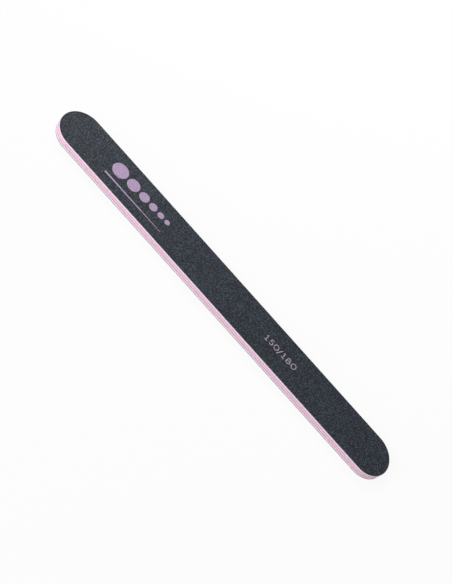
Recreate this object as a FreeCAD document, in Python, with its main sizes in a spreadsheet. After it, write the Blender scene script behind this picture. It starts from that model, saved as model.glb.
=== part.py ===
# Padded emery board: a stiff plastic core between two foam cushions, with abrasive paper on both faces,
# glued up flat and die-cut as one laminate. Every layer of it is a solid of its own.
# Millimetres. X runs along the board, Y across it and Z up, from the middle of the face it lies on.

import FreeCAD, Part
import Sketcher
import math
import os

# Driving sizes
SIZES = {
    "board_length": 178.0,  # tip to tip, the trade's seven inches
    "board_width": 18.5,  # side to side, and the diameter of the round ends
    "core_thickness": 1.0,  # stiff strip in the middle
    "core_edge_radius": 0.14,  # rounding that the die leaves on both rims of the core
    "core_film_thickness": 0.14,  # double-sided film between the core and each foam
    "core_film_setback": 0.03,  # how far that film stays inside the cut edge
    "paper_film_thickness": 0.06,  # adhesive between each foam and its paper
    "paper_film_setback": 0.1,  # how far that adhesive stays inside the cut edge
    "foam_thickness": 0.8,  # each cushion
    "foam_dish": 0.12,  # hollow of the foam's edge, which springs back after the cut
    "paper_thickness": 0.18,  # backing of the abrasive
    "make_coat_thickness": 0.03,  # resin bed that the grains are set in
    "coarse_grain_height": 0.12,  # grit 150 on the upper face, standing out of its bed
    "fine_grain_height": 0.1,  # grit 180 on the lower face
    "grain_rim_radius": 0.06,  # easing of the grain along the cut edge
    "rim_limit_share": 0.8,  # most of a wall that the rounding of its rims may take
}

doc = FreeCAD.newDocument("EmeryBoard")
sheet = doc.addObject("Spreadsheet::Sheet", "Sizes")
for row, (alias, value) in enumerate(SIZES.items(), start=1):
    sheet.set(f"A{row}", alias.replace("_", " "))
    sheet.set(f"B{row}", str(value))
    sheet.setAlias(f"B{row}", alias)
doc.recompute()

# Point positions of a sketch's geometry, and the indices of its fixed axes
START, END, CENTRE = 1, 2, 3
X_AXIS, ORIGIN = (-1,), (-1, START)

STRAIGHT_SUM = "(Sizes.board_length - Sizes.board_width)"


def attached_sketch(body, role, name):
    plane = next(feature for feature in body.Origin.OriginFeatures if feature.Role == role)
    sketch = body.newObject("Sketcher::SketchObject", f"{body.Name}_{name}")
    sketch.AttachmentSupport = [(plane, "")]
    sketch.MapMode = "FlatFace"
    return sketch


def constrain(sketch, *constraint):
    return sketch.addConstraint(Sketcher.Constraint(*constraint))


# A sketch dimension that follows a sum of sheet cells
def dimension(sketch, name, expression, *constraint):
    sketch.renameConstraint(constrain(sketch, *constraint), name)
    sketch.setExpression(f"Constraints.{name}", expression)


# Outline of the cut: two straight sides joined by half circles, moved inwards by a setback if one is named
def outline_sketch(body, setback=None):
    sketch = attached_sketch(body, "XY_Plane", "outline")
    radius_sum = "Sizes.board_width / 2"
    radius = sheet.board_width / 2
    if setback:
        radius_sum += f" - Sizes.{setback}"
        radius -= sheet.get(setback)
    straight = sheet.board_length - sheet.board_width
    right_centre = FreeCAD.Vector(straight / 2, 0, 0)
    left_centre = -right_centre
    across = FreeCAD.Vector(0, radius, 0)
    up = FreeCAD.Vector(0, 0, 1)
    right_angle = math.pi / 2
    front, right, back, left = sketch.addGeometry(
        [
            Part.LineSegment(left_centre - across, right_centre - across),
            Part.ArcOfCircle(Part.Circle(right_centre, up, radius), -right_angle, right_angle),
            Part.LineSegment(right_centre + across, left_centre + across),
            Part.ArcOfCircle(Part.Circle(left_centre, up, radius), right_angle, 3 * right_angle),
        ]
    )
    for edge, following in ((front, right), (right, back), (back, left), (left, front)):
        constrain(sketch, "Tangent", edge, END, following, START)
    constrain(sketch, "Horizontal", front)
    constrain(sketch, "PointOnObject", right, CENTRE, *X_AXIS)
    constrain(sketch, "Symmetric", right, CENTRE, left, CENTRE, *ORIGIN)
    dimension(sketch, "EndRadius", radius_sum, "Radius", right, radius)
    dimension(sketch, "Straight", STRAIGHT_SUM, "DistanceX", left, CENTRE, right, CENTRE, straight)
    return sketch


# A layer cut to the outline, from its own zero up to its thickness
def flat_layer(name, thickness, setback=None):
    body = doc.addObject("PartDesign::Body", name)
    outline = outline_sketch(body, setback)
    pad = body.newObject("PartDesign::Pad", f"{name}_pad")
    pad.Profile = outline
    pad.setExpression("Length", f"Sizes.{thickness}")
    doc.recompute()
    return body, outline, pad


# Rounds all edges of the pad's flat faces on the given sides, +1 for the top and -1 for the underside
def round_rims(body, pad, sides, radius, wall):
    faces = []
    for number, face in enumerate(pad.Shape.Faces, start=1):
        if round(face.normalAt(0, 0).z) in sides:
            faces.append(f"Face{number}")
    fillet = body.newObject("PartDesign::Fillet", f"{body.Name}_rims")
    fillet.Base = (pad, faces)
    limit = f"{wall} * Sizes.rim_limit_share / {len(sides)}"
    fillet.setExpression("Radius", f"min(Sizes.{radius}; Sizes.{limit})")
    doc.recompute()
    return body


def grain_coat(name, height, side):
    body, outline, pad = flat_layer(name, height)
    return round_rims(body, pad, (side,), "grain_rim_radius", height)


def core_strip(name, thickness):
    body, outline, pad = flat_layer(name, thickness)
    return round_rims(body, pad, (1, -1), "core_edge_radius", thickness)


def plain_layer(name, thickness):
    return flat_layer(name, thickness)[0]


def adhesive_film(name, thickness, setback):
    return flat_layer(name, thickness, setback)[0]


# A cushion whose cut edge is hollow: a circle segment as high as the foam is swept round the outline
def foam_cushion(name, thickness):
    body, outline, pad = flat_layer(name, thickness)
    height = sheet.get(thickness)
    side = -sheet.board_width / 2
    radius = (height**2 / 4 + sheet.foam_dish**2) / (2 * sheet.foam_dish)
    centre = FreeCAD.Vector(side + sheet.foam_dish - radius, height / 2, 0)
    half_angle = math.asin(height / (2 * radius))
    segment = attached_sketch(body, "YZ_Plane", "segment")
    segment.setExpression("AttachmentOffset.Base.z", f"-{STRAIGHT_SUM} / 2")
    hollow, chord = segment.addGeometry(
        [
            Part.ArcOfCircle(Part.Circle(centre, FreeCAD.Vector(0, 0, 1), radius), -half_angle, half_angle),
            Part.LineSegment(FreeCAD.Vector(side, height, 0), FreeCAD.Vector(side, 0, 0)),
        ]
    )
    constrain(segment, "Coincident", hollow, END, chord, START)
    constrain(segment, "Coincident", chord, END, hollow, START)
    constrain(segment, "Vertical", chord)
    constrain(segment, "PointOnObject", chord, END, *X_AXIS)
    dimension(segment, "Side", "Sizes.board_width / 2", "DistanceX", chord, END, *ORIGIN, -side)
    dimension(segment, "Height", f"Sizes.{thickness}", "DistanceY", chord, END, chord, START, height)
    radius_sum = f"(Sizes.{thickness} ^ 2 / 4 + Sizes.foam_dish ^ 2) / (2 * Sizes.foam_dish)"
    dimension(segment, "HollowRadius", radius_sum, "Radius", hollow, radius)
    dish = body.newObject("PartDesign::SubtractivePipe", f"{name}_dish")
    dish.Profile = segment
    dish.Spine = (outline, [f"Edge{number}" for number in range(1, outline.GeometryCount + 1)])
    doc.recompute()
    return body


# The layers so far, and their thicknesses
layers = []
thicknesses = []


# Makes a layer and sets it on the sum of those below it
def lay(make, name, thickness, *details):
    body = make(name, thickness, *details)
    if thicknesses:
        body.setExpression("Placement.Base.z", " + ".join(thicknesses))
    thicknesses.append(f"Sizes.{thickness}")
    layers.append(body)


# The stack, from the table up
lay(grain_coat, "lower_grain_coat", "fine_grain_height", -1)
lay(plain_layer, "lower_make_coat", "make_coat_thickness")
lay(plain_layer, "lower_paper_backing", "paper_thickness")
lay(adhesive_film, "lower_paper_adhesive", "paper_film_thickness", "paper_film_setback")
lay(foam_cushion, "lower_foam_cushion", "foam_thickness")
lay(adhesive_film, "lower_core_adhesive", "core_film_thickness", "core_film_setback")
lay(core_strip, "core_strip", "core_thickness")
lay(adhesive_film, "upper_core_adhesive", "core_film_thickness", "core_film_setback")
lay(foam_cushion, "upper_foam_cushion", "foam_thickness")
lay(adhesive_film, "upper_paper_adhesive", "paper_film_thickness", "paper_film_setback")
lay(plain_layer, "upper_paper_backing", "paper_thickness")
lay(plain_layer, "upper_make_coat", "make_coat_thickness")
lay(grain_coat, "upper_grain_coat", "coarse_grain_height", 1)
doc.recompute()

# Nothing is written unless every feature and every layer is sound
for item in doc.Objects:
    if {"Invalid", "Error"} & set(item.State):
        raise RuntimeError(f"{item.Label} failed: {item.State}")
for body in layers:
    if body.Shape.isNull() or not body.Shape.isValid():
        raise RuntimeError(f"{body.Label} has no sound solid")

os.makedirs("parts", exist_ok=True)
for body in layers:
    body.Shape.exportStep(f"parts/{body.Label}.step")
    box = body.Shape.optimalBoundingBox()
    print(f"{body.Label}: z {box.ZMin:.3f} to {box.ZMax:.3f}, {body.Shape.Volume:.2f} mm3")
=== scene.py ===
import math

import bpy
import numpy as np
from mathutils import Matrix, Vector


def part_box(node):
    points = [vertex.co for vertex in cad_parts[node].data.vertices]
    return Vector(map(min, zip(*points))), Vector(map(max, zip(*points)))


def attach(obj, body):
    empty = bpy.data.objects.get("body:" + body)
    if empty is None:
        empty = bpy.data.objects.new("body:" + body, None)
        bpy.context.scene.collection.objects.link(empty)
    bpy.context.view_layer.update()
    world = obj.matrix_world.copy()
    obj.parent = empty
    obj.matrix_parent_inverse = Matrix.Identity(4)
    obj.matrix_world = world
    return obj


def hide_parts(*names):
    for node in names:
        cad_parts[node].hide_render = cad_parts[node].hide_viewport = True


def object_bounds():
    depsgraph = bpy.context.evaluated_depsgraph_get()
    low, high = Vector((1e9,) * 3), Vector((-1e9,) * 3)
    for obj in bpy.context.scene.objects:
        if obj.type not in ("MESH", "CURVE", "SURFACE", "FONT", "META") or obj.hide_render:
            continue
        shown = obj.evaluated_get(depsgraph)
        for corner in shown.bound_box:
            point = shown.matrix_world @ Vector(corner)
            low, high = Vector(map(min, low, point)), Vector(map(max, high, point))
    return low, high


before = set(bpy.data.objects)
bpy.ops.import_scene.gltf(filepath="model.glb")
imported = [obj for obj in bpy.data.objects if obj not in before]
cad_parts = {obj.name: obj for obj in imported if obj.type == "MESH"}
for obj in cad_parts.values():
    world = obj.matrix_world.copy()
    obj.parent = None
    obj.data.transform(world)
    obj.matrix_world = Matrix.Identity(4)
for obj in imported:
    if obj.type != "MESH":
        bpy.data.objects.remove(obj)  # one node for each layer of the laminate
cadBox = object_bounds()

mm = 0.001  # the dictionaries below are in millimetres, the meshes in metres

# the die's outline as the frame has it: two straight sides and two half-round ends
boardLow, boardHigh = (np.array(corner) for corner in cadBox)
endRadius = (boardHigh[1] - boardLow[1]) / 2
spineHalf = boardHigh[0] - endRadius
sideRun = 2 * spineHalf
bendRun = math.pi * endRadius
cutRun = 2 * (sideRun + bendRun)
print(f"outline: {cutRun / mm:.1f} mm round, {len(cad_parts)} layers")


# tools for every piece

def linearColour(hexText):
    # sRGB hex to linear, the form that Blender's colour sockets take
    levels = np.array([int(hexText[i:i + 2], 16) for i in (1, 3, 5)]) / 255
    linear = np.where(levels <= 0.04045, levels / 12.92, ((levels + 0.055) / 1.055) ** 2.4)
    return (*linear.tolist(), 1.0)


def addNode(tree, kind, sockets=None, **settings):
    # a socket takes either a value or the output that is linked to it
    node = tree.nodes.new(kind)
    for name, value in settings.items():
        setattr(node, name, value)
    for socket, value in (sockets or {}).items():
        if isinstance(value, bpy.types.NodeSocket):
            tree.links.new(value, node.inputs[socket])
        else:
            node.inputs[socket].default_value = value
    return node


def openMaterial(name):
    # an empty material, its tree and the place on the board that its patterns read
    material = bpy.data.materials.new(name)
    material.use_nodes = True
    tree = material.node_tree
    tree.nodes.clear()
    return material, tree, addNode(tree, "ShaderNodeTexCoord").outputs["Object"]


def closeMaterial(tree, sockets, height=None, strength=0.0, relief=0.0):
    # every finish ends in one shader, with its pattern's height as relief where it has one
    if height:
        bump = addNode(
            tree, "ShaderNodeBump", {"Height": height, "Strength": strength, "Distance": relief * mm}
        )
        sockets = {**sockets, "Normal": bump.outputs[0]}
    shader = addNode(tree, "ShaderNodeBsdfPrincipled", sockets)
    addNode(tree, "ShaderNodeOutputMaterial", {"Surface": shader.outputs[0]})


def perMetre(sizeMm):
    return 1 / (sizeMm * mm)  # texture scale that gives cells or waves of this size


def addPiece(name, points, faces, smooth, material, node=None):
    mesh = bpy.data.meshes.new(name)
    mesh.from_pydata(points.tolist(), [], faces)
    mesh.polygons.foreach_set("use_smooth", smooth)
    mesh.materials.append(material)
    mesh.update()
    piece = bpy.data.objects.new(name, mesh)
    bpy.context.scene.collection.objects.link(piece)
    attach(piece, "root")
    if node:
        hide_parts(node)
    print(f"{name}: {len(mesh.vertices)} points, {len(mesh.polygons)} faces")
    return piece


# the die-cut edge that all the inner layers share

def cutLine(station, inset):
    # a point on the spine plus an arm, which stays square to each side and swings half a turn round each end
    marks = np.cumsum([0, sideRun, bendRun, sideRun, bendRun])
    spine = np.interp(station, marks, [-spineHalf, spineHalf, spineHalf, -spineHalf, -spineHalf])
    swing = np.interp(station, marks, np.pi * np.array([-0.5, -0.5, 0.5, 0.5, 1.5]))
    arm = endRadius - inset
    return spine + arm * np.cos(swing), arm * np.sin(swing)


def cutNoise(seed, shape, run, rise=0.0):
    # white noise blurred by a bell curve, run steps along the closed cut and rise rows up it,
    # then ranked, so that every level from 0 to 1 is as frequent
    noise = np.random.default_rng(seed).normal(size=shape)
    up, along = np.fft.fftfreq(shape[0])[:, None], np.fft.fftfreq(shape[1])[None, :]
    bell = np.exp(-2 * np.pi ** 2 * ((up * rise) ** 2 + (along * run) ** 2))
    blurred = np.fft.ifft2(np.fft.fft2(noise) * bell).real.ravel()
    ranked = np.empty(blurred.size)
    ranked[np.argsort(blurred)] = np.linspace(0, 1, blurred.size)
    return ranked.reshape(shape)


def cutSteps(step):
    return round(cutRun / (step * mm))


def cutLayer(name, node, material, rises, inset):
    # rings round the outline, one for each rise from the layer's underside to its top, each drawn in by
    # its inset, with a flat face closing the layer above and below
    low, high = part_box(node)
    station = np.arange(inset.shape[1]) * cutRun / inset.shape[1]
    x, y = cutLine(station, inset * mm)
    z = np.broadcast_to(low.z + (high.z - low.z) * rises[:, None], inset.shape)
    points = np.stack([x, y, z], -1).reshape(-1, 3)
    here = np.arange(inset.size).reshape(inset.shape)
    beside = np.roll(here, -1, axis=1)
    band = np.stack([here[:-1], beside[:-1], beside[1:], here[1:]], -1).reshape(-1, 4).tolist()
    faces = band + [here[0, ::-1].tolist(), here[-1].tolist()]
    smooth = [True] * len(band) + [False, False]
    return addPiece(name, points, faces, smooth, material, node)


# resin bed under the grit

resin = dict(
    deep="#26221f", pale="#3a3431", cure=1.5, roughness=0.45, ior=1.6,
    step=0.2, chip=0.04, chipRun=1.0, seeds=dict(upper=51, lower=52),
)


def resinMaterial():
    # phenolic make coat, roller-coated and cured: dark brown-black, a thin satin line under the grit, paler
    # in patches of about 1.5 mm where the roller left it thin
    material, tree, place = openMaterial("phenolicMakeCoat")
    cure = addNode(tree, "ShaderNodeTexNoise", {"Vector": place, "Scale": perMetre(resin["cure"])})
    tone = addNode(
        tree, "ShaderNodeMix",
        {0: cure.outputs[0], 6: linearColour(resin["deep"]), 7: linearColour(resin["pale"])},
        data_type="RGBA",
    )
    closeMaterial(
        tree, {"Base Color": tone.outputs[2], "Roughness": resin["roughness"], "IOR": resin["ior"]}
    )
    return material


def resinLayer(level, material):
    # inset: chips along the brittle bed, from nothing to chip
    shape = (2, cutSteps(resin["step"]))
    inset = resin["chip"] * cutNoise(resin["seeds"][level], shape, resin["chipRun"])
    rises = np.array([0.0, 1.0])
    cutLayer(f"{level}MakeCoat", f"{level}_make_coat", material, rises, inset)


# backing paper

paper = dict(
    deep="#d5c6cf", pale="#f6ecf2", fibre=0.5, flatten=8.0, octaves=4.0, gain=0.65, strength=0.5,
    relief=0.02, roughness=0.85, ior=1.5,
    step=0.15, rows=4, fray=0.025, frayRun=1.2, frayRise=0.4, seeds=dict(upper=41, lower=42),
)


def paperMaterial():
    # latex-treated abrasive paper, die-cut: pinkish white, with fibres lying flat that streak its edge; real
    # ones are 0.03 mm thick and drawn twice as thick and 0.5 mm long so that they show
    material, tree, place = openMaterial("latexBackingPaper")
    flat = addNode(tree, "ShaderNodeMapping", {"Vector": place, "Scale": (1.0, 1.0, paper["flatten"])})
    fibres = addNode(
        tree, "ShaderNodeTexNoise",
        {
            "Vector": flat.outputs[0],
            "Scale": perMetre(paper["fibre"]),
            "Detail": paper["octaves"],
            "Roughness": paper["gain"],
        },
    )
    tone = addNode(
        tree, "ShaderNodeMix",
        {0: fibres.outputs[0], 6: linearColour(paper["deep"]), 7: linearColour(paper["pale"])},
        data_type="RGBA",
    )
    closeMaterial(
        tree, {"Base Color": tone.outputs[2], "Roughness": paper["roughness"], "IOR": paper["ior"]},
        fibres.outputs[0], paper["strength"], paper["relief"],
    )
    return material


def paperLayer(level, material):
    # inset: torn fibre ends, from nothing to fray, longer along the cut than they are high
    rises = np.linspace(0, 1, paper["rows"])
    shape = (paper["rows"], cutSteps(paper["step"]))
    inset = paper["fray"] * cutNoise(paper["seeds"][level], shape, paper["frayRun"], paper["frayRise"])
    name, node = f"{level}PaperBacking", f"{level}_paper_backing"
    cutLayer(name, node, material, rises, inset)


# adhesive films

glue = dict(
    step=0.3, rows=5, wanderRun=6.0, bead=0.01, pull=1.2, octaves=3.0, roughness=0.4, ior=1.48,
    paper=dict(
        name="clearAcrylicGlue", deep="#d9c6d0", pale="#efe4ea", wander=0.08, seeds=dict(upper=63, lower=64)
    ),
    # the core films' dark pink is partly the glue's own tint and partly painted shade of the seam between
    # foam and core
    core=dict(
        name="pinkGlueAndSeamShade", deep="#a94880", pale="#c66f9f", wander=0.01, seeds=dict(upper=61, lower=62)
    ),
)


def glueMaterial(film):
    # pressure-sensitive acrylic film, set back from the cut: a slightly shiny line in the bottom of a groove,
    # uneven in tone over lengths of about 1.2 mm, where the blade pulled it
    material, tree, place = openMaterial(film["name"])
    pull = addNode(
        tree, "ShaderNodeTexNoise",
        {"Vector": place, "Scale": perMetre(glue["pull"]), "Detail": glue["octaves"]},
    )
    tone = addNode(
        tree, "ShaderNodeMix",
        {0: pull.outputs[0], 6: linearColour(film["deep"]), 7: linearColour(film["pale"])},
        data_type="RGBA",
    )
    closeMaterial(
        tree, {"Base Color": tone.outputs[2], "Roughness": glue["roughness"], "IOR": glue["ior"]}
    )
    return material


def glueLayer(level, side, material):
    # inset: the film's own setback from the cut, a slow wander inwards and a bead that stands out halfway up
    film = glue[side]
    node = f"{level}_{side}_adhesive"
    setback = (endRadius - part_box(node)[1].y) / mm
    rises = np.linspace(0, 1, glue["rows"])
    shape = (1, cutSteps(glue["step"]))
    wander = film["wander"] * cutNoise(film["seeds"][level], shape, glue["wanderRun"])
    bead = glue["bead"] * ((2 * rises - 1) ** 2)[:, None]
    name = f"{level}{side.capitalize()}Adhesive"
    cutLayer(name, node, material, rises, setback + wander + bead)


# foam cushions

foam = dict(
    deep="#e5ccdc", pale="#f6e1ef", cell=0.3, wall=0.6, floor=0.1, strength=0.5, relief=0.03, roughness=0.9,
    ior=1.48, step=0.12, rows=11, spring=0.03, dish=0.1, pit=0.05, pitShare=0.45, pitRun=0.9, pitRise=0.8,
    rimPits=0.3, fill=1.0, seeds=dict(upper=21, lower=22),
)


def foamMaterial():
    # pale pink EVA foam, die-cut: matte, with sliced cells whose hollows are painted a little darker as
    # shade; real cells of about
    # 0.15 mm are drawn twice as wide so that they show
    material, tree, place = openMaterial("cutEvaFoam")
    cells = addNode(tree, "ShaderNodeTexVoronoi", {"Vector": place, "Scale": perMetre(foam["cell"])})
    hollow = addNode(
        tree, "ShaderNodeMapRange",
        {"Value": cells.outputs["Distance"], "From Min": foam["floor"], "From Max": foam["wall"]},
    )
    # painted shade: the middle of each sliced cell, where its hollow is, turns to the deeper pink
    tone = addNode(
        tree, "ShaderNodeMix",
        {0: hollow.outputs[0], 6: linearColour(foam["deep"]), 7: linearColour(foam["pale"])},
        data_type="RGBA",
    )
    closeMaterial(
        tree, {"Base Color": tone.outputs[2], "Roughness": foam["roughness"], "IOR": foam["ior"]},
        hollow.outputs[0], foam["strength"], foam["relief"],
    )
    return material


def foamLayer(level, material):
    # inset: the spring of the whole edge, a hollow that is deepest halfway up,
    # dish * (1 - (2 rise - 1) squared), and pits where cells were sliced
    rises = np.linspace(0, 1, foam["rows"])
    shape = (foam["rows"], cutSteps(foam["step"]))
    hollow = foam["spring"] + foam["dish"] * (1 - (2 * rises - 1) ** 2)[:, None]
    cells = cutNoise(foam["seeds"][level], shape, foam["pitRun"], foam["pitRise"])
    pits = np.clip((cells - 1 + foam["pitShare"]) / foam["pitShare"], 0, 1)
    pits[[0, -1]] *= foam["rimPits"]  # the rims stay nearly whole, where the glue holds them
    name, node = f"{level}FoamCushion", f"{level}_foam_cushion"
    piece = cutLayer(name, node, material, rises, hollow + foam["pit"] * pits)


# stiff core

# seamShadePink is painted shade along the core's top and bottom rims, where it meets the glue films
core = dict(
    torn="#edc2db", tornPale="#f8ddec", seamShadePink="#dc92bb", rimFrom=0.33, rimFull=0.48, scoreWidth=0.35,
    upright=0.12, octaves=3.0, strength=0.4, relief=0.02, roughness=0.5, ior=1.59,
    step=0.2, rimRadius=0.14, rimRows=4, sideRows=3, score=0.02, scoreRun=0.8, seed=31,
)


def coreMaterial(low, high):
    # pink high-impact polystyrene sheet, die-cut: satin, with upright score lines from the blade; the rims
    # are painted deeper pink as shade along the seams with the glue films, so the middle of the cut reads
    # paler; real score lines are about
    # 0.05 mm wide and drawn 0.35 mm wide so that they show
    material, tree, place = openMaterial("pinkPolystyrene")
    upright = addNode(tree, "ShaderNodeMapping", {"Vector": place, "Scale": (1.0, 1.0, core["upright"])})
    scores = addNode(
        tree, "ShaderNodeTexNoise",
        {"Vector": upright.outputs[0], "Scale": perMetre(core["scoreWidth"]), "Detail": core["octaves"]},
    )
    height = addNode(tree, "ShaderNodeSeparateXYZ", {0: place}).outputs[2]
    above = addNode(tree, "ShaderNodeMath", {0: height, 1: (low + high) / 2}, operation="SUBTRACT")
    away = addNode(tree, "ShaderNodeMath", {0: above.outputs[0]}, operation="ABSOLUTE")
    rim = addNode(
        tree, "ShaderNodeMapRange",
        {
            "Value": away.outputs[0],
            "From Min": core["rimFrom"] * (high - low),
            "From Max": core["rimFull"] * (high - low),
        },
    )
    torn = addNode(
        tree, "ShaderNodeMix",
        {0: scores.outputs[0], 6: linearColour(core["torn"]), 7: linearColour(core["tornPale"])},
        data_type="RGBA",
    )
    # painted shade: the top and bottom rims turn deeper pink, and the middle keeps the paler torn tone
    tone = addNode(
        tree, "ShaderNodeMix",
        {0: rim.outputs[0], 6: torn.outputs[2], 7: linearColour(core["seamShadePink"])},
        data_type="RGBA",
    )
    closeMaterial(
        tree, {"Base Color": tone.outputs[2], "Roughness": core["roughness"], "IOR": core["ior"]},
        scores.outputs[0], core["strength"], core["relief"],
    )
    return material


def coreLayer():
    # inset: quarter circles of rimRadius at both rims, plus score lines that run straight up the side
    low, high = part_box("core_strip")
    thickness = (high.z - low.z) / mm
    radius = core["rimRadius"]
    turn = np.linspace(0, np.pi / 2, core["rimRows"])
    rimRise, rimInset = radius * (1 - np.cos(turn)), radius * (1 - np.sin(turn))
    side = np.linspace(radius, thickness - radius, core["sideRows"] + 2)[1:-1]
    rises = np.concatenate([rimRise, side, thickness - rimRise[::-1]]) / thickness
    profile = np.concatenate([rimInset, side * 0, rimInset[::-1]])
    scores = core["score"] * cutNoise(core["seed"], (1, cutSteps(core["step"])), core["scoreRun"])
    material = coreMaterial(low.z, high.z)
    cutLayer("coreStrip", "core_strip", material, rises, profile[:, None] + scores)


# grit coats: real grains are 0.09 and 0.08 mm wide, drawn about three times as wide so that they show

bothGrits = dict(
    dark="#090d15", light="#48525d", skew=2.5, ior=1.55, specular=0.14, octaves=3.0, strength=0.6,
    jitter=0.3, choice=(0.5, 2.0), lowest=0.1, rim=0.7,
)
coarseGrit = dict(
    level="upper", slot="coarse_grain", up=1, pitch=0.24, room=0.014, ragged=0.05,
    crystal=0.3, chip=0.012, glossy=0.34, dull=0.72, seed=150,
)
fineGrit = dict(
    level="lower", slot="fine_grain", up=-1, pitch=0.22, room=0.004, ragged=0.04,
    crystal=0.28, chip=0.01, glossy=0.38, dull=0.74, seed=180,
)


def gritMaterial(grit):
    # silicon carbide crystals under a thin phenolic size coat: blue-black, each crystal its own
    # darkness and gloss, so that the face glitters a little and never goes flat, and chips half its width
    material, tree, place = openMaterial(f"{grit['level']}SiliconCarbide")
    crystal = addNode(tree, "ShaderNodeTexVoronoi", {"Vector": place, "Scale": perMetre(grit["crystal"])})
    draw = addNode(tree, "ShaderNodeSeparateColor", {"Color": crystal.outputs["Color"]})
    few = addNode(tree, "ShaderNodeMath", {0: draw.outputs[0], 1: bothGrits["skew"]}, operation="POWER")
    tone = addNode(
        tree, "ShaderNodeMix",
        {0: few.outputs[0], 6: linearColour(bothGrits["dark"]), 7: linearColour(bothGrits["light"])},
        data_type="RGBA",
    )
    gloss = addNode(
        tree, "ShaderNodeMapRange",
        {"Value": draw.outputs[1], "To Min": grit["glossy"], "To Max": grit["dull"]},
    )
    chips = addNode(
        tree, "ShaderNodeTexNoise",
        {"Vector": place, "Scale": perMetre(grit["crystal"] / 2), "Detail": bothGrits["octaves"]},
    )
    closeMaterial(
        tree,
        {
            "Base Color": tone.outputs[2],
            "Roughness": gloss.outputs[0],
            "IOR": bothGrits["ior"],
            "Specular IOR Level": bothGrits["specular"],
        },
        chips.outputs[0], bothGrits["strength"], grit["chip"],
    )
    return material


def squareCorners(grid):
    return grid[:-1, :-1], grid[1:, :-1], grid[1:, 1:], grid[:-1, 1:]


def spread(p, q, r):
    return ((q - p).conjugate() * (r - p)).imag  # twice the area from above of a facet of complex points


def gritCoat(grit):
    # a grid of points over the board, each moved at random within its cell and raised to a random height
    # between the bed and the tips, joined by triangles that stay flat, as the crystals' facets are; past the
    # straight sides the grid bends into a half disc: each coordinate, in end radii, is shortened by the root
    # of 1 - half the other's square; a short wall round the rim and a flat face close the coat at its bed
    node = f"{grit['level']}_grain_coat"
    low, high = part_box(node)
    bed = low.z if grit["up"] > 0 else high.z
    height = high.z - low.z - grit["room"] * mm
    rng = np.random.default_rng(grit["seed"])
    shape = tuple(round(2 * half / (grit["pitch"] * mm)) + 1 for half in (boardHigh[0], endRadius))
    rim = np.ones(shape, bool)
    rim[1:-1, 1:-1] = False
    along, across = np.meshgrid(*(np.linspace(-1, 1, count) for count in shape), indexing="ij")
    # the moves die out towards the four places where the grid's corners are pressed flat onto the round rim
    calm = 1 - (np.clip(abs(along) * boardHigh[0] - spineHalf, 0, None) / endRadius * across) ** 2
    moves = bothGrits["jitter"] * calm * rng.uniform(-1, 1, (2, *shape))
    along = (along + moves[0] * 2 / (shape[0] - 1) * (abs(along) < 1)) * boardHigh[0]
    across = across + moves[1] * 2 / (shape[1] - 1) * (abs(across) < 1)
    spine = np.clip(along, -spineHalf, spineHalf)
    beyond = (along - spine) / endRadius
    arm = endRadius - rim * calm * grit["ragged"] * mm * rng.uniform(0, 1, shape)
    x = spine + arm * beyond * np.sqrt(1 - across ** 2 / 2)
    y = arm * across * np.sqrt(1 - beyond ** 2 / 2)
    rise = rng.uniform(np.where(rim, bothGrits["rim"], bothGrits["lowest"]), 1)
    z = bed + grit["up"] * height * rise
    # each square breaks along either of its diagonals, unless a facet would be folded over or very thin
    a, b, c, d = squareCorners(x + 1j * y)
    fits = [np.minimum(spread(a, b, c), spread(a, c, d)), np.minimum(spread(a, b, d), spread(b, c, d))]
    slant = fits[0] > fits[1] * rng.uniform(*bothGrits["choice"], a.shape)
    here = np.arange(x.size).reshape(shape)
    a, b, c, d = squareCorners(here)
    halves = [np.where(slant, (a, b, c), (a, b, d)), np.where(slant, (a, c, d), (b, c, d))]
    facets = np.concatenate([half.reshape(3, -1).T for half in halves])
    loop = np.concatenate([here[:-1, 0], here[-1, :-1], here[:0:-1, -1], here[0, :0:-1]])
    foot = x.size + np.arange(loop.size)
    wall = np.stack([foot, np.roll(foot, -1), np.roll(loop, -1), loop], -1)
    points = np.stack([x, y, z], -1).reshape(-1, 3)
    points = np.concatenate([points, np.column_stack([points[loop, :2], np.full(loop.size, bed)])])
    outward = slice(None, None, grit["up"])  # the lower coat is built upside down, so its faces turn round
    faces = facets[:, outward].tolist() + wall[:, outward].tolist() + [foot[::-1][outward].tolist()]
    name = f"{grit['level']}GrainCoat"
    return addPiece(name, points, faces, [False] * len(faces), gritMaterial(grit), node)


# print on the coarse face

ink = dict(
    film=0.01, step=0.09, fewestSteps=8, arcPoints=33, rows=5, ragged=0.02, seed=71,
    thin=0.45, octaves=3.0, bare=0.3, full=0.55, roughness=0.55, ior=1.5,
)
dotRow = dict(
    start=-63.4, centreY=1.3, first=7.0, ratio=0.8, count=6, gap=0.9, deep="#796783", pale="#b095b9",
)
taperRule = dict(start=-63.4, end=-33.2, centreY=-4.6, thick=0.8, thin=0.2)
gritNumbers = dict(
    stroke=0.32, height=2.5, baseline=-1.0, deep="#806f89", pale="#b9a4bf",
    glyphs=(("1", 21.6, 1.6), ("5", 24.0, 1.65), ("0", 26.4, 2.1), ("/", 28.7, 1.5),
            ("1", 30.8, 1.6), ("8", 33.2, 1.9), ("0", 35.9, 2.1)),
)


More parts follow.
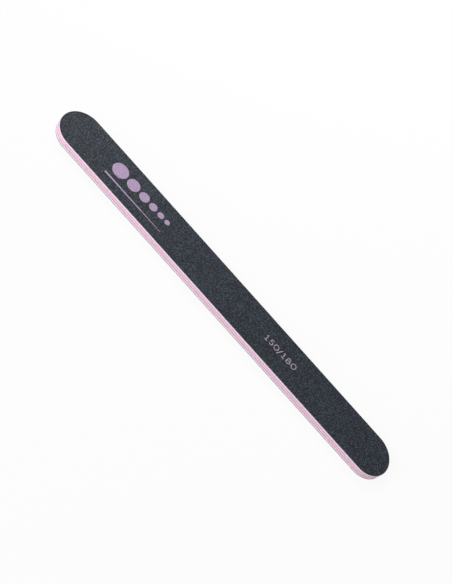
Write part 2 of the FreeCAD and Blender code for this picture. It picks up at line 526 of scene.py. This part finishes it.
def inkMaterial(name, deep, pale):
    # lilac screen ink on grit: satin, thinner on the crystals' flanks, where the black shows through; patches
    # of 0.45 mm, about two of the drawn crystals
    material, tree, place = openMaterial(name)
    thin = addNode(
        tree, "ShaderNodeTexNoise",
        {"Vector": place, "Scale": perMetre(ink["thin"]), "Detail": ink["octaves"]},
    )
    cover = addNode(
        tree, "ShaderNodeMapRange",
        {"Value": thin.outputs[0], "From Min": ink["bare"], "From Max": ink["full"]},
    )
    tone = addNode(
        tree, "ShaderNodeMix",
        {0: cover.outputs[0], 6: linearColour(deep), 7: linearColour(pale)},
        data_type="RGBA",
    )
    closeMaterial(tree, {"Base Color": tone.outputs[2], "Roughness": ink["roughness"], "IOR": ink["ior"]})
    return material


def strokeLine(*corners):
    return np.array(corners, float)


def strokeArc(centre, radii, fromTurn, toTurn):
    turn = np.radians(np.linspace(fromTurn, toTurn, ink["arcPoints"]))
    return np.stack([centre[0] + radii[0] * np.cos(turn), centre[1] + radii[1] * np.sin(turn)], -1)


glyphStrokes = {  # centre lines of plain single-stroke numerals in a box one wide and one high
    "0": (strokeArc((0.5, 0.5), (0.5, 0.5), 90, 450),),
    "1": (
        strokeLine((0.1, 0.8), (0.5, 1.0), (0.5, -0.06)),
        strokeLine((0.05, 0.0), (0.39, 0.0)),
        strokeLine((0.61, 0.0), (0.95, 0.0)),
    ),
    "5": (
        np.concatenate([
            strokeLine((0.88, 1.0), (0.2, 1.0), (0.13, 0.52)),
            strokeArc((0.48, 0.31), (0.46, 0.31), 125, -150),
        ]),
    ),
    "8": (strokeArc((0.5, 0.27), (0.5, 0.27), 90, 450), strokeArc((0.5, 0.695), (0.4, 0.3), -30, 210)),
    "/": (strokeLine((1.0, 1.04), (0.0, -0.26)),),
}


def inkStrip(path, width, rng):
    # a ribbon: the path at even steps, its corners rounded by a running mean half a width to each side, and
    # across it offsets from minus to plus half the width, where the two outer rows are ragged; a path that
    # ends where it starts is joined up
    along = np.concatenate([[0], np.cumsum(np.hypot(*np.diff(path, axis=0).T))])
    closed = np.allclose(path[0], path[-1])
    station = np.linspace(0, along[-1], max(ink["fewestSteps"], round(along[-1] / ink["step"])))
    middle = np.stack([np.interp(station, along, path[:, k]) for k in (0, 1)], -1)[:-1 if closed else None]
    reach = round(np.max(width) / 2 / ink["step"])
    around = dict(mode="wrap") if closed else dict(mode="reflect", reflect_type="odd")
    padded = np.pad(middle, ((reach, reach), (0, 0)), **around)
    mean = np.full(2 * reach + 1, 1 / (2 * reach + 1))
    middle = np.stack([np.convolve(padded[:, k], mean, "valid") for k in (0, 1)], -1)
    if closed:
        heading = np.roll(middle, -1, axis=0) - np.roll(middle, 1, axis=0)
    else:
        heading = np.gradient(middle, axis=0)
    heading /= np.linalg.norm(heading, axis=1)[:, None]
    square = np.stack([-heading[:, 1], heading[:, 0]], -1)
    half = np.broadcast_to(np.asarray(width) / 2, len(middle))[:, None]
    across = np.linspace(-1, 1, ink["rows"])
    offset = half * across + ink["ragged"] * rng.normal(size=(len(middle), across.size)) * np.trunc(across)
    points = middle[:, None, :] + offset[..., None] * square[:, None, :]
    here = np.arange(offset.size).reshape(offset.shape)
    ahead = np.roll(here, -1, axis=0)
    if not closed:
        here, ahead = here[:-1], ahead[:-1]
    quads = np.stack([here[:, :-1], ahead[:, :-1], ahead[:, 1:], here[:, 1:]], -1).reshape(-1, 4)
    return points.reshape(-1, 2), [quads]


def inkDisc(centre, radius, rng):
    # rings of even steps about a centre point, the outer one ragged, with a fan of triangles inside the first
    rings = round(radius / ink["step"])
    turns = round(2 * np.pi * radius / ink["step"])
    ramp = np.linspace(1 / rings, 1, rings)[:, None]
    reach = radius * ramp + ink["ragged"] * rng.normal(size=(rings, turns)) * np.trunc(ramp)
    turn = np.arange(turns) * 2 * np.pi / turns
    points = np.stack([reach * np.cos(turn), reach * np.sin(turn)], -1).reshape(-1, 2)
    here = np.arange(reach.size).reshape(reach.shape)
    ahead = np.roll(here, -1, axis=1)
    quads = np.stack([here[:-1], here[1:], ahead[1:], ahead[:-1]], -1).reshape(-1, 4)
    fan = np.stack([np.full(turns, reach.size), here[0], ahead[0]], -1)
    return np.concatenate([points, [(0.0, 0.0)]]) + np.array(centre), [quads, fan]


def inkPiece(name, patches, material, grit):
    # the patches lie flat over the grit, a drop straight down lays them on its facets, and a shell below
    # makes them a film
    starts = np.cumsum([0] + [len(points) for points, blocks in patches])
    faces = []
    for start, (points, blocks) in zip(starts, patches):
        for block in blocks:
            faces += (start + block).tolist()
    flat = np.concatenate([points for points, blocks in patches]) * mm
    points = np.column_stack([flat, np.full(len(flat), boardHigh[2])])
    piece = addPiece(name, points, faces, [False] * len(faces), material)
    drop = piece.modifiers.new("drop", "SHRINKWRAP")
    drop.target = grit
    drop.wrap_method = "PROJECT"
    drop.use_project_z = True
    drop.use_positive_direction = False
    drop.use_negative_direction = True
    drop.offset = ink["film"] * mm
    shell = piece.modifiers.new("shell", "SOLIDIFY")
    shell.thickness = ink["film"] * mm
    shell.offset = -1
    draped = bpy.data.meshes.new_from_object(piece.evaluated_get(bpy.context.evaluated_depsgraph_get()))
    piece.modifiers.clear()
    piece.data = draped
    draped.name = name


def printFace(grit):
    rng = np.random.default_rng(ink["seed"])
    markInk = inkMaterial("lilacScreenInk", dotRow["deep"], dotRow["pale"])
    wide = dotRow["first"] * dotRow["ratio"] ** np.arange(dotRow["count"])
    left = dotRow["start"] + np.concatenate([[0], np.cumsum(wide[:-1] + dotRow["gap"])])
    dots = [inkDisc((x, dotRow["centreY"]), r, rng) for x, r in zip(left + wide / 2, wide / 2)]
    inkPiece("sizedDots", dots, markInk, grit)
    path = strokeLine(*((taperRule[end], taperRule["centreY"]) for end in ("start", "end")))
    steps = round((taperRule["end"] - taperRule["start"]) / ink["step"])
    rule = inkStrip(path, np.linspace(taperRule["thick"], taperRule["thin"], steps), rng)
    inkPiece("taperRule", [rule], markInk, grit)
    paths = [
        stroke * (wide, gritNumbers["height"]) + (left, gritNumbers["baseline"])
        for glyph, left, wide in gritNumbers["glyphs"]
        for stroke in glyphStrokes[glyph]
    ]
    strokes = [inkStrip(path, gritNumbers["stroke"], rng) for path in paths]
    numberInk = inkMaterial("greyLilacScreenInk", gritNumbers["deep"], gritNumbers["pale"])
    inkPiece("gritNumbers", strokes, numberInk, grit)


# build the board from the table up
paperGlue, coreGlue = glueMaterial(glue["paper"]), glueMaterial(glue["core"])
paperFinish, resinFinish, foamFinish = paperMaterial(), resinMaterial(), foamMaterial()
gritCoat(fineGrit)
for level in ("lower", "upper"):
    resinLayer(level, resinFinish)
    paperLayer(level, paperFinish)
    glueLayer(level, "paper", paperGlue)
    foamLayer(level, foamFinish)
    glueLayer(level, "core", coreGlue)
coreLayer()
printFace(gritCoat(coarseGrit))


# stage: a white table under a light tent, with softboxes towards the board's left end

stage = dict(
    white="#ffffff", floorHalf=3000.0, floorTone="#fbfbfb", floorRough=1.0, nearWhite=0.88, whiteFrom=150.0,
    whiteAll=600.0, tent=0.46,
    softboxes=(
        dict(name="backSoftbox", place=(-235, 275, 300), aim=(-60, 0, 0), size=(200, 200), watts=1.18),
        dict(name="frontSoftbox", place=(-450, -580, 280), aim=(0, 0, 0), size=(600, 400), watts=2.95),
    ),
)


def seenRay(tree):
    # 1 for rays that show the background, straight or in a gloss or through glass, and 0 for those that light
    path = addNode(tree, "ShaderNodeLightPath")
    first = addNode(
        tree, "ShaderNodeMath",
        {0: path.outputs["Is Camera Ray"], 1: path.outputs["Is Glossy Ray"]},
        operation="MAXIMUM",
    )
    both = addNode(
        tree, "ShaderNodeMath",
        {0: first.outputs[0], 1: path.outputs["Is Transmission Ray"]},
        operation="MAXIMUM",
    )
    return both.outputs[0]


def buildFloor():
    # to the eye the table keeps its shade near the board and turns into plain white further off
    half = stage["floorHalf"] * mm
    mesh = bpy.data.meshes.new("whiteTable")
    corners = [(-half, -half, 0), (half, -half, 0), (half, half, 0), (-half, half, 0)]
    mesh.from_pydata(corners, [], [(0, 1, 2, 3)])
    floor = bpy.data.objects.new("whiteTable", mesh)
    bpy.context.scene.collection.objects.link(floor)
    material, tree, place = openMaterial("matteTablePaper")
    shaded = addNode(
        tree, "ShaderNodeBsdfDiffuse",
        {"Color": linearColour(stage["floorTone"]), "Roughness": stage["floorRough"]},
    )
    white = addNode(tree, "ShaderNodeEmission", {"Color": linearColour(stage["white"]), "Strength": 1.0})
    away = addNode(tree, "ShaderNodeVectorMath", {0: place}, operation="LENGTH")
    share = addNode(
        tree, "ShaderNodeMapRange",
        {
            "Value": away.outputs["Value"],
            "From Min": stage["whiteFrom"] * mm,
            "From Max": stage["whiteAll"] * mm,
            "To Min": stage["nearWhite"],
        },
    )
    seen = addNode(tree, "ShaderNodeMath", {0: seenRay(tree), 1: share.outputs[0]}, operation="MULTIPLY")
    both = addNode(
        tree, "ShaderNodeMixShader", {0: seen.outputs[0], 1: shaded.outputs[0], 2: white.outputs[0]}
    )
    addNode(tree, "ShaderNodeOutputMaterial", {"Surface": both.outputs[0]})
    mesh.materials.append(material)


def buildLights():
    world = bpy.data.worlds.new("lightTent")
    bpy.context.scene.world = world
    world.use_nodes = True
    tree = world.node_tree
    tree.nodes.clear()
    level = addNode(
        tree, "ShaderNodeMapRange", {"Value": seenRay(tree), "To Min": stage["tent"], "To Max": 1.0}
    )
    glow = addNode(
        tree, "ShaderNodeBackground",
        {"Color": linearColour(stage["white"]), "Strength": level.outputs[0]},
    )
    addNode(tree, "ShaderNodeOutputWorld", {"Surface": glow.outputs[0]})
    for box in stage["softboxes"]:
        lamp = bpy.data.lights.new(box["name"], "AREA")
        lamp.shape = "RECTANGLE"
        lamp.size, lamp.size_y = (side * mm for side in box["size"])
        lamp.energy = box["watts"]
        holder = bpy.data.objects.new(box["name"], lamp)
        bpy.context.scene.collection.objects.link(holder)
        holder.location = Vector(box["place"]) * mm
        aim = Vector(box["aim"]) * mm - holder.location
        holder.rotation_euler = aim.to_track_quat("-Z", "Y").to_euler()


# the photograph's view: a long lens, rolled so that the board runs down to the right

photoView = dict(
    azimuth=-1.82, elevation=46.1, roll=49.45, distance=430.07, aim=(-0.48, -0.023),
    lens=71.525, sensor=36.0, clip=10.0,
)


def buildCamera():
    azimuth, elevation, roll = (math.radians(photoView[key]) for key in ("azimuth", "elevation", "roll"))
    back = Vector((
        math.sin(azimuth) * math.cos(elevation),
        -math.cos(azimuth) * math.cos(elevation),
        math.sin(elevation),
    ))
    right = Vector((math.cos(azimuth), math.sin(azimuth), 0))
    up = back.cross(right)
    rolledRight = math.cos(roll) * right + math.sin(roll) * up
    rolledUp = math.cos(roll) * up - math.sin(roll) * right
    aim = Vector((photoView["aim"][0] * mm, photoView["aim"][1] * mm, boardHigh[2]))
    camera = bpy.data.cameras.new("photoCamera")
    camera.lens, camera.sensor_width = photoView["lens"], photoView["sensor"]
    camera.clip_start = photoView["clip"] * mm
    holder = bpy.data.objects.new("photoCamera", camera)
    bpy.context.scene.collection.objects.link(holder)
    turn = Matrix((rolledRight, rolledUp, back)).transposed().to_4x4()
    holder.matrix_world = Matrix.Translation(aim + back * photoView["distance"] * mm) @ turn
    bpy.context.scene.camera = holder


buildFloor()
buildLights()
buildCamera()
bpy.context.scene.view_settings.view_transform = "Standard"
print("stage: table, tent, softboxes and camera")
